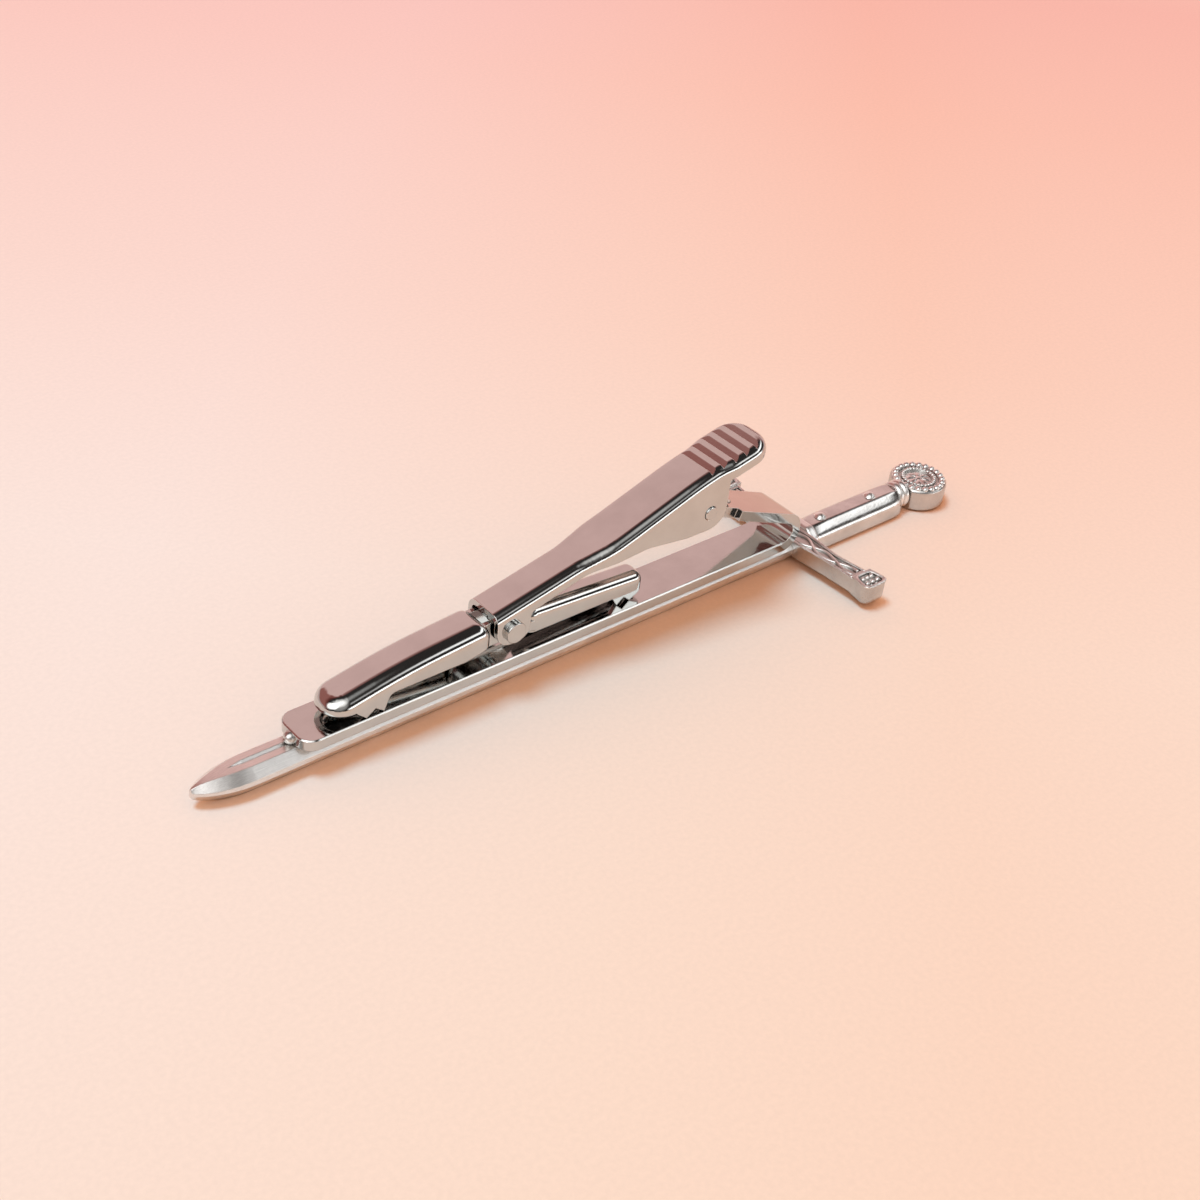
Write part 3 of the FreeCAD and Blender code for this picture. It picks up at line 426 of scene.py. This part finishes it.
def make_pommel_beads():
    """Beading round the pommel's rim, and finer beading on its inner ring."""
    bm = bmesh.new()
    for count, reach, radius, height, z in POMMEL_BEADING:
        for step in range(count):
            turn = 2 * math.pi * (step + 0.5) / count
            add_bead(bm, POMMEL_X + reach * math.cos(turn), reach * math.sin(turn), z, radius, height)
    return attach(finish_piece("pommel_beading", bm, ornament_lit_copy), "sword")


ROSETTE_TOP_Z = 2.03
ROSETTE_UNDER_Z = 0.22
ROSETTE_REACH = 1.24
ROSETTE_RINGS = 22
ROSETTE_SIDES = 96
ROSETTE_PETALS = 8
ROSETTE_LIFT = 0.012
ROSETTE_RELIEF = 0.13
ROSETTE_SKIRT = 0.02
BOSS_SHARE = 0.24
PETAL_ROOT_SHARE = 0.3
PETAL_FLANK_POWER = 0.6
PETAL_LENGTH_POWER = 0.8
RIM_FADE_POWER = 6


def rosette_height(share, turn):
    """How far the rosette stands out, at a share of its radius and a turn about its middle."""
    flank = abs(math.cos(ROSETTE_PETALS / 2 * turn)) ** PETAL_FLANK_POWER
    petal = flank * math.sin(math.pi * share) ** PETAL_LENGTH_POWER
    boss = max(0.0, 1 - (share / BOSS_SHARE) ** 2) ** 0.5
    relief = max(petal * min(1.0, share / PETAL_ROOT_SHARE), boss)
    return ROSETTE_LIFT + ROSETTE_RELIEF * relief * (1 - share ** RIM_FADE_POWER)


def make_rosette():
    """A plain eight-petalled rosette in low relief, in the dish of each face of the pommel."""
    bm = bmesh.new()
    for middle, way in ((ROSETTE_TOP_Z, 1), (ROSETTE_UNDER_Z, -1)):
        centre = None
        previous = None
        for ring in range(ROSETTE_RINGS + 1):
            share = ring / ROSETTE_RINGS
            row = []
            for step in range(ROSETTE_SIDES if ring else 1):
                turn = 2 * math.pi * step / ROSETTE_SIDES
                z = middle + way * rosette_height(share, turn)
                if ring == ROSETTE_RINGS:
                    z = middle - way * ROSETTE_SKIRT
                row.append(bm.verts.new(Vector((POMMEL_X + ROSETTE_REACH * share * math.cos(turn),
                                                ROSETTE_REACH * share * math.sin(turn), z)) * MM))
            for step in range(ROSETTE_SIDES if ring else 0):
                after = (step + 1) % ROSETTE_SIDES
                if ring == 1:
                    bm.faces.new((centre, row[step], row[after]))
                else:
                    bm.faces.new((previous[step], row[step], row[after], previous[after]))
            if ring == 0:
                centre = row[0]
            previous = row
        bm.faces.new(previous)
    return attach(finish_piece("pommel_rosettes", bm, ornament_lit_copy), "sword")


# Grip. Tilts are in degrees
GRIP_START = 21.6026
GRIP_LENGTH = 11.14
GRIP_TOP = 2.4
GRIP_HALF_WIDTH = 1.65
GRIP_LOW_BEVEL = 0.25
GRIP_FACET = 0.5
GRIP_FACET_TILT = 42
GRIP_TOP_ROUND = 0.5
GRIP_FLANK_ROUND = 1.3
GRIP_DRAWN_IN = 0.12
GRIP_DRAWN_POWER = 10
GRIP_STEPS = 72
GRIP_ARC_STEPS = 10
GRIP_SHARP_ANGLE = 35


def grip_side():
    """One side of the grip's section, from the low bevel up the flank and the facet to the back."""
    def arc(radius, start, end):
        steps = range(GRIP_ARC_STEPS + 1)
        turns = [math.radians(start + (end - start) * step / GRIP_ARC_STEPS) for step in steps]
        return [(radius * math.sin(turn), radius * math.cos(turn)) for turn in turns]

    flank = arc(GRIP_FLANK_ROUND, 90, GRIP_FACET_TILT)
    drop = math.radians(GRIP_FACET_TILT)
    corner = arc(GRIP_TOP_ROUND, GRIP_FACET_TILT, 0)
    facet_low = GRIP_TOP - GRIP_TOP_ROUND * (1 - math.cos(drop)) - GRIP_FACET * math.sin(drop)
    flank_y = GRIP_HALF_WIDTH - GRIP_FLANK_ROUND
    flank_z = facet_low - flank[-1][1]
    corner_y = flank_y + flank[-1][0] - GRIP_FACET * math.cos(drop) - corner[0][0]
    side = [(GRIP_HALF_WIDTH - GRIP_LOW_BEVEL, 0.0), (GRIP_HALF_WIDTH, GRIP_LOW_BEVEL)]
    side += [(flank_y + y, flank_z + z) for y, z in flank]
    return side + [(corner_y + y, GRIP_TOP - GRIP_TOP_ROUND + z) for y, z in corner]


def make_grip():
    """The grip, drawn in a little at both ends."""
    side = grip_side()
    section = side + [(-y, z) for y, z in reversed(side)]
    bm = bmesh.new()
    rings = []
    for step in range(GRIP_STEPS + 1):
        share = step / GRIP_STEPS
        drawn = 1 - GRIP_DRAWN_IN * abs(2 * share - 1) ** GRIP_DRAWN_POWER
        x = GRIP_START + GRIP_LENGTH * share
        rings.append([bm.verts.new(Vector((x, y * drawn, z * (1 + drawn) / 2)) * MM) for y, z in section])
    close_rings(bm, rings)
    grip = finish_piece("soft_grip", bm, sword_metal)
    grip.data.set_sharp_from_angle(angle=math.radians(GRIP_SHARP_ANGLE))
    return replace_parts(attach(grip, "sword"), "grip")


# Spring. Turns and tilts are in degrees
PIN = Vector((6.50263, 0, 9.8))
COIL_RADIUS = 0.9
COIL_HALF_LENGTH = 0.78
COIL_START = 61.390
COIL_END = 688.215
COIL_STEPS = 120
WIRE_RADIUS = 0.175
ARM_LEG = 3.616
THUMB_LEG = 4.806
LEG_STEPS = 12
FOOT = 1.3
FOOT_TILT = 14
FOOT_STEPS = 6
FOOT_BEND = 0.55
BEND_STEPS = 8


def coil(share):
    """A point of the coil, from 0 at its start to 1 at its end."""
    turn = math.radians(COIL_START + share * (COIL_END - COIL_START))
    return PIN + Vector((COIL_RADIUS * math.cos(turn), COIL_HALF_LENGTH * (2 * share - 1),
                         COIL_RADIUS * math.sin(turn)))


def leg_way(degrees):
    """The way that a leg leaves the coil at a turn."""
    return Vector((-math.sin(math.radians(degrees)), 0, math.cos(math.radians(degrees))))


def make_spring():
    """The torsion spring round the lever's pin: one leg on the arm, the other under the thumb pad."""
    start = coil(0)
    end = coil(1)
    arm_way = leg_way(COIL_START)
    thumb_way = leg_way(COIL_END)
    foot_way = Vector((math.cos(math.radians(FOOT_TILT)), 0, math.sin(math.radians(FOOT_TILT))))
    corner = end + thumb_way * THUMB_LEG
    points = [start - arm_way * (ARM_LEG * (1 - step / LEG_STEPS)) for step in range(LEG_STEPS)]
    points += [coil(step / COIL_STEPS) for step in range(COIL_STEPS + 1)]
    for step in range(1, LEG_STEPS + 1):
        points.append(end + thumb_way * ((THUMB_LEG - FOOT_BEND) * step / LEG_STEPS))
    for step in range(1, BEND_STEPS + 1):
        share = step / BEND_STEPS
        first = corner - thumb_way * FOOT_BEND * (1 - share)
        second = corner + foot_way * FOOT_BEND * share
        points.append(first.lerp(second, share))
    for step in range(1, FOOT_STEPS + 1):
        points.append(corner + foot_way * (FOOT_BEND + FOOT * step / FOOT_STEPS))
    bm = bmesh.new()
    sweep(bm, points, Vector((0, 1, 0)), WIRE_RADIUS, WIRE_RADIUS)
    spring = finish_piece("wound_spring", bm, spring_metal)
    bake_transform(spring)
    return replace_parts(spring, "lever_spring")


make_interlace()
make_guard_rims()
make_block_beads()
make_pommel_beads()
make_rosette()
make_grip()
make_spring()


# Studio
def facing(tree, way, direction, low, high):
    """How far a vector reaches along a direction, 0 to 1 between two lengths."""
    return share_between(tree, dot(tree, way, Vector(direction).normalized()), low, high)


FLOOR_RADIUS = 3.0
FLOOR_SIDES = 96
FLOOR_ROUGHNESS = 0.9
FLOOR_SPECULAR = 0.1
GRAIN_MM = 0.4
GRAIN_DETAIL = 2.0
GRAIN_STOPS = [(0.3, (0.96, 0.96, 0.96)), (0.7, WHITE)]
TINT_WAY = (1, 1, 0)
TINT_RUN = (-0.06, 0.44)
TINT_STOPS = [(0.0, (0.95, 0.735, 0.616)), (0.125, (0.95, 0.75, 0.654)), (0.225, (0.95, 0.66, 0.565)),
              (0.375, (0.95, 0.565, 0.485)), (0.5, (0.93, 0.505, 0.455)), (0.9, (0.93, 0.68, 0.60))]
WARMTH_WAY = (1, -1, 0)
WARMTH_RUN = (-0.04, 0.05)
WARMTH_STOPS = [(0.0, WHITE), (0.45, (1.0, 0.94, 0.87)), (0.75, (1.0, 0.88, 0.78)), (1.0, (1.0, 0.90, 0.81))]


def make_floor():
    """Pale paper, pinker to the back and warmer to the right."""
    bm = bmesh.new()
    bmesh.ops.create_circle(bm, cap_ends=True, segments=FLOOR_SIDES, radius=FLOOR_RADIUS)
    data = bpy.data.meshes.new("floor")
    bm.to_mesh(data)
    bm.free()
    floor = bpy.data.objects.new("floor", data)
    scene.collection.objects.link(floor)
    material = bpy.data.materials.new("pale_paper")
    material.use_nodes = True
    tree = material.node_tree
    shader = tree.nodes["Principled BSDF"]
    place = add_node(tree, "ShaderNodeTexCoord").outputs["Object"]
    paper = ramp(tree, noise(tree, place, GRAIN_MM, GRAIN_DETAIL), GRAIN_STOPS)
    tint = ramp(tree, facing(tree, place, TINT_WAY, *TINT_RUN), TINT_STOPS)
    warmth = ramp(tree, facing(tree, place, WARMTH_WAY, *WARMTH_RUN), WARMTH_STOPS)
    colour = mix_colours(tree, 1.0, mix_colours(tree, 1.0, paper, tint, "MULTIPLY"), warmth, "MULTIPLY")
    tree.links.new(colour, shader.inputs["Base Color"])
    shader.inputs["Roughness"].default_value = FLOOR_ROUGHNESS
    shader.inputs["Specular IOR Level"].default_value = FLOOR_SPECULAR
    data.materials.append(material)


# What the metal mirrors. Heights are a direction's Z, runs are lengths along a direction
DIM = (0.035, 0.031, 0.030)
PALE = (0.74, 0.57, 0.53)
HORIZON_STOPS = [(0.0, PALE), (0.16, PALE), (0.24, BLACK)]
BEHIND_WAY = (0.3, 0.95, 0)
BEHIND_RUN = (-0.3, 0.0)
WALL_WAY = (0, 0.86, -0.507)
WALL_RUN = (-0.3, 0.2)
WALL_STOPS = [(0.0, BLACK), (0.22, (0.05, 0.03, 0.03)), (0.50, (0.36, 0.16, 0.145)),
              (0.80, (0.89, 0.585, 0.545))]
LEFT_WAY = (1, 0.1, 0)
LEFT_RUN = (-0.1, 0.3)
LEFT_STOPS = [(0.31, (0.48, 0.28, 0.26)), (0.62, WHITE)]
STRIP_LIGHT = (2.1, 2.08, 2.06)
STRIP_STOPS = [(0.50, BLACK), (0.56, STRIP_LIGHT), (0.67, STRIP_LIGHT), (0.72, BLACK)]
STRIP_WAY = (0.85, -0.53, 0)
STRIP_RUN = (0.52, 0.76)
FRONT_LIGHT = (2.6, 2.55, 2.5)
FRONT_STOPS = [(0.03, BLACK), (0.045, FRONT_LIGHT), (0.19, FRONT_LIGHT), (0.24, BLACK)]
FRONT_WAY = (0.5, -0.86, 0)
FRONT_RUN = (0.8, 0.93)
FADE_IN = [(0.0, BLACK), (1.0, WHITE)]

# Each card has a direction, the degrees from it that are fully lit and where it ends, and a colour
CARDS = (((-0.80, -0.20, 0.55), 15, 27, (2.2, 2.16, 2.12)),
         ((-0.36, -0.32, 0.87), 9, 19, (0.60, 0.59, 0.58)),
         ((-0.36, -0.32, 0.87), 16, 34, (1.05, 1.03, 1.01)),
         ((-0.50, -0.60, 0.62), 16, 40, (0.4, 0.38, 0.37)))
FILL = (0.84, 0.53, 0.35, 1.0)
BACKDROP = (0.95, 0.74, 0.66, 1.0)


def card(tree, way, direction, inner, outer, colour):
    """A soft round patch of light in the world, full within inner degrees of a direction."""
    near = dot(tree, way, Vector(direction).normalized())
    values = {"Value": near, "From Min": math.cos(math.radians(outer)),
              "From Max": math.cos(math.radians(inner))}
    share = add_node(tree, "ShaderNodeMapRange", values, interpolation_type="SMOOTHSTEP").outputs[0]
    return add_node(tree, "ShaderNodeVectorMath", {0: colour, "Scale": share}, operation="SCALE").outputs[0]


def make_world():
    """A plain backdrop for the camera, a warm fill for the floor, and a studio for the metal to mirror.

    The studio has a pink wall behind, darker to its left and above, two strip lights to the right, and
    white cards overhead and about the camera.
    """
    world = bpy.data.worlds.new("studio")
    scene.world = world
    world.use_nodes = True
    tree = world.node_tree
    tree.nodes.clear()
    way = add_node(tree, "ShaderNodeTexCoord").outputs["Generated"]
    height = add_node(tree, "ShaderNodeSeparateXYZ", {0: way}).outputs["Z"]
    horizon = ramp(tree, height, HORIZON_STOPS)
    behind = ramp(tree, facing(tree, way, BEHIND_WAY, *BEHIND_RUN), FADE_IN)
    wall = ramp(tree, facing(tree, way, WALL_WAY, *WALL_RUN), WALL_STOPS)
    left = ramp(tree, facing(tree, way, LEFT_WAY, *LEFT_RUN), LEFT_STOPS)
    strip = ramp(tree, height, STRIP_STOPS)
    strip_end = ramp(tree, facing(tree, way, STRIP_WAY, *STRIP_RUN), FADE_IN)
    front = ramp(tree, height, FRONT_STOPS)
    front_end = ramp(tree, facing(tree, way, FRONT_WAY, *FRONT_RUN), FADE_IN)
    total = combine(tree, "MAXIMUM", combine(tree, "MULTIPLY", horizon, behind),
                    combine(tree, "MULTIPLY", wall, left))
    total = combine(tree, "MAXIMUM", total, DIM)
    total = combine(tree, "ADD", total, combine(tree, "MULTIPLY", strip, strip_end))
    total = combine(tree, "ADD", total, combine(tree, "MULTIPLY", front, front_end))
    for direction, inner, outer, colour in CARDS:
        total = combine(tree, "ADD", total, card(tree, way, direction, inner, outer, colour))
    studio = add_node(tree, "ShaderNodeBackground", {"Color": total, "Strength": 1.0})
    fill = add_node(tree, "ShaderNodeBackground", {"Color": FILL, "Strength": 1.0})
    backdrop = add_node(tree, "ShaderNodeBackground", {"Color": BACKDROP, "Strength": 1.0})
    rays = add_node(tree, "ShaderNodeLightPath")
    mirrored = add_node(tree, "ShaderNodeMixShader", {0: rays.outputs["Is Glossy Ray"], 1: fill.outputs[0],
                                                      2: studio.outputs[0]})
    shader = add_node(tree, "ShaderNodeMixShader", {0: rays.outputs["Is Camera Ray"], 1: mirrored.outputs[0],
                                                    2: backdrop.outputs[0]})
    add_node(tree, "ShaderNodeOutputWorld", {"Surface": shader.outputs[0]})


KEY_DIRECTION = (-0.20, 0.19, 0.95)
KEY_COLOUR = (0.278, 0.70, 0.99)
KEY_STRENGTH = 2.5
KEY_ANGLE = 20


def make_key_lamp():
    """A distant lamp that lights the floor. The metal is lit by what it mirrors of the studio."""
    data = bpy.data.lights.new("key", "SUN")
    data.color = KEY_COLOUR
    data.energy = KEY_STRENGTH
    data.angle = math.radians(KEY_ANGLE)
    lamp = bpy.data.objects.new("key", data)
    lamp.rotation_mode = "QUATERNION"
    lamp.rotation_quaternion = Vector(KEY_DIRECTION).to_track_quat("Z", "Y")
    lamp.visible_glossy = False
    scene.collection.objects.link(lamp)


make_camera()
make_floor()
make_world()
make_key_lamp()

scene.view_settings.view_transform = "Standard"
